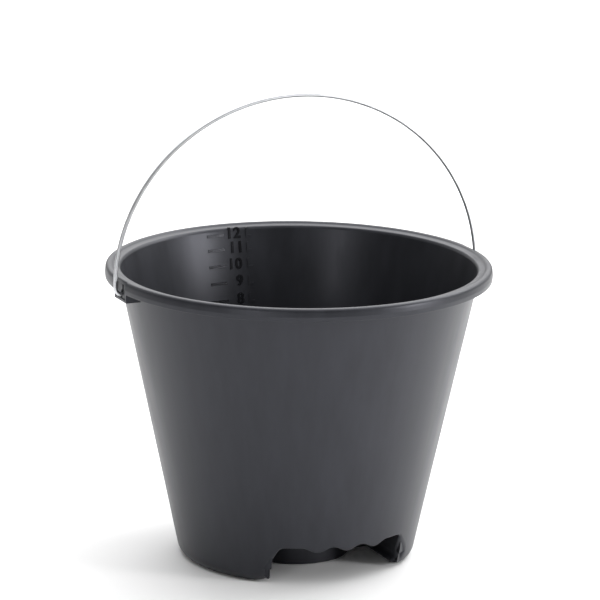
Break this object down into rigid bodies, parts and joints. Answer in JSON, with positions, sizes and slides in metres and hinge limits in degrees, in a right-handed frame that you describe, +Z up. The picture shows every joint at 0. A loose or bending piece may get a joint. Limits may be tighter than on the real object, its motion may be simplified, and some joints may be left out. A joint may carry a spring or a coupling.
{
  "type": "bucket",
  "caption": "Tapered moulded bucket with a rolled rim, litre scale, base grip cutout and free-swinging round-wire bail.",
  "frame": {"origin": "on the ground, at the middle of the foot, on the bucket's axis", "axes": "+Z up along the bucket's axis, +X along the bail's hinge axis, -Y the side with the tipping grip, +Y the side with the litre scale"},
  "size_m": [0.344, 0.335, 0.4052],
  "materials": {
    "moulded_polypropylene": "satin moulded polypropylene, charcoal black",
    "galvanised_wire": "bright galvanised drawn steel wire"
  },
  "bodies": {
    "bucket": {"bucket_body": "moulded_polypropylene"},
    "bail_swing": {"bail": "galvanised_wire"}
  },
  "joints": [
    {"name": "bail_hinge", "type": "hinge", "parent": "bucket", "child": "bail_swing", "pos_m": [0, 0, 0.2454], "axis": [1, 0, 0], "range_deg": [-73.8, 82.2]}
  ]
}
